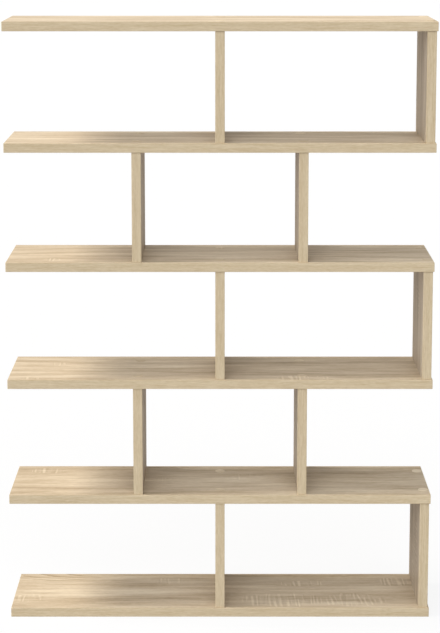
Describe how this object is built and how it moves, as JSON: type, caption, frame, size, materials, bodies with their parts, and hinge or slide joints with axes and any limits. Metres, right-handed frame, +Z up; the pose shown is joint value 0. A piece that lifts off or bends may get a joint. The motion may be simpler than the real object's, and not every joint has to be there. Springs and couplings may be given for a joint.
{
  "type": "open shelf unit",
  "caption": "Tall open shelf unit of long horizontal boards joined by short staggered upright panels, open at front and back, in pale oak finish.",
  "frame": {"origin": "middle of the bottom board's underside, on the floor", "axes": "+Z up, front towards -Y, +X to the right seen from the front, where the side panels stand"},
  "size_m": [1, 0.24, 1.4226],
  "materials": {
    "oak_board": "melamine-faced particle board with a pale oak print, matt and finely brushed along the grain",
    "oak_edging": "smooth pale oak edge band, satin",
    "zinc_steel": "zinc-plated steel",
    "beech": "turned beech, unfinished",
    "cover_disc": "self-adhesive decor disc, matt"
  },
  "bodies": {
    "root": {"top_board": "oak_board", "top_board_edging": "oak_edging", "first_shelf": "oak_board", "first_shelf_edging": "oak_edging", "second_shelf": "oak_board", "second_shelf_edging": "oak_edging", "third_shelf": "oak_board", "third_shelf_edging": "oak_edging", "fourth_shelf": "oak_board", "fourth_shelf_edging": "oak_edging", "bottom_board": "oak_board", "bottom_board_edging": "oak_edging", "tier_1_centre_divider": "oak_board", "tier_1_centre_divider_edging": "oak_edging", "tier_1_side_panel": "oak_board", "tier_1_side_panel_edging": "oak_edging", "tier_1_screws": "zinc_steel", "tier_1_dowels": "beech", "tier_1_screw_covers": "cover_disc", "tier_2_left_divider": "oak_board", "tier_2_left_divider_edging": "oak_edging", "tier_2_right_divider": "oak_board", "tier_2_right_divider_edging": "oak_edging", "tier_2_screws": "zinc_steel", "tier_2_dowels": "beech", "tier_2_screw_covers": "cover_disc", "tier_3_centre_divider": "oak_board", "tier_3_centre_divider_edging": "oak_edging", "tier_3_side_panel": "oak_board", "tier_3_side_panel_edging": "oak_edging", "tier_3_screws": "zinc_steel", "tier_3_dowels": "beech", "tier_3_screw_covers": "cover_disc", "tier_4_left_divider": "oak_board", "tier_4_left_divider_edging": "oak_edging", "tier_4_right_divider": "oak_board", "tier_4_right_divider_edging": "oak_edging", "tier_4_screws": "zinc_steel", "tier_4_dowels": "beech", "tier_4_screw_covers": "cover_disc", "tier_5_centre_divider": "oak_board", "tier_5_centre_divider_edging": "oak_edging", "tier_5_side_panel": "oak_board", "tier_5_side_panel_edging": "oak_edging", "tier_5_screws": "zinc_steel", "tier_5_dowels": "beech", "tier_5_screw_covers": "cover_disc"}
  },
  "joints": []
}
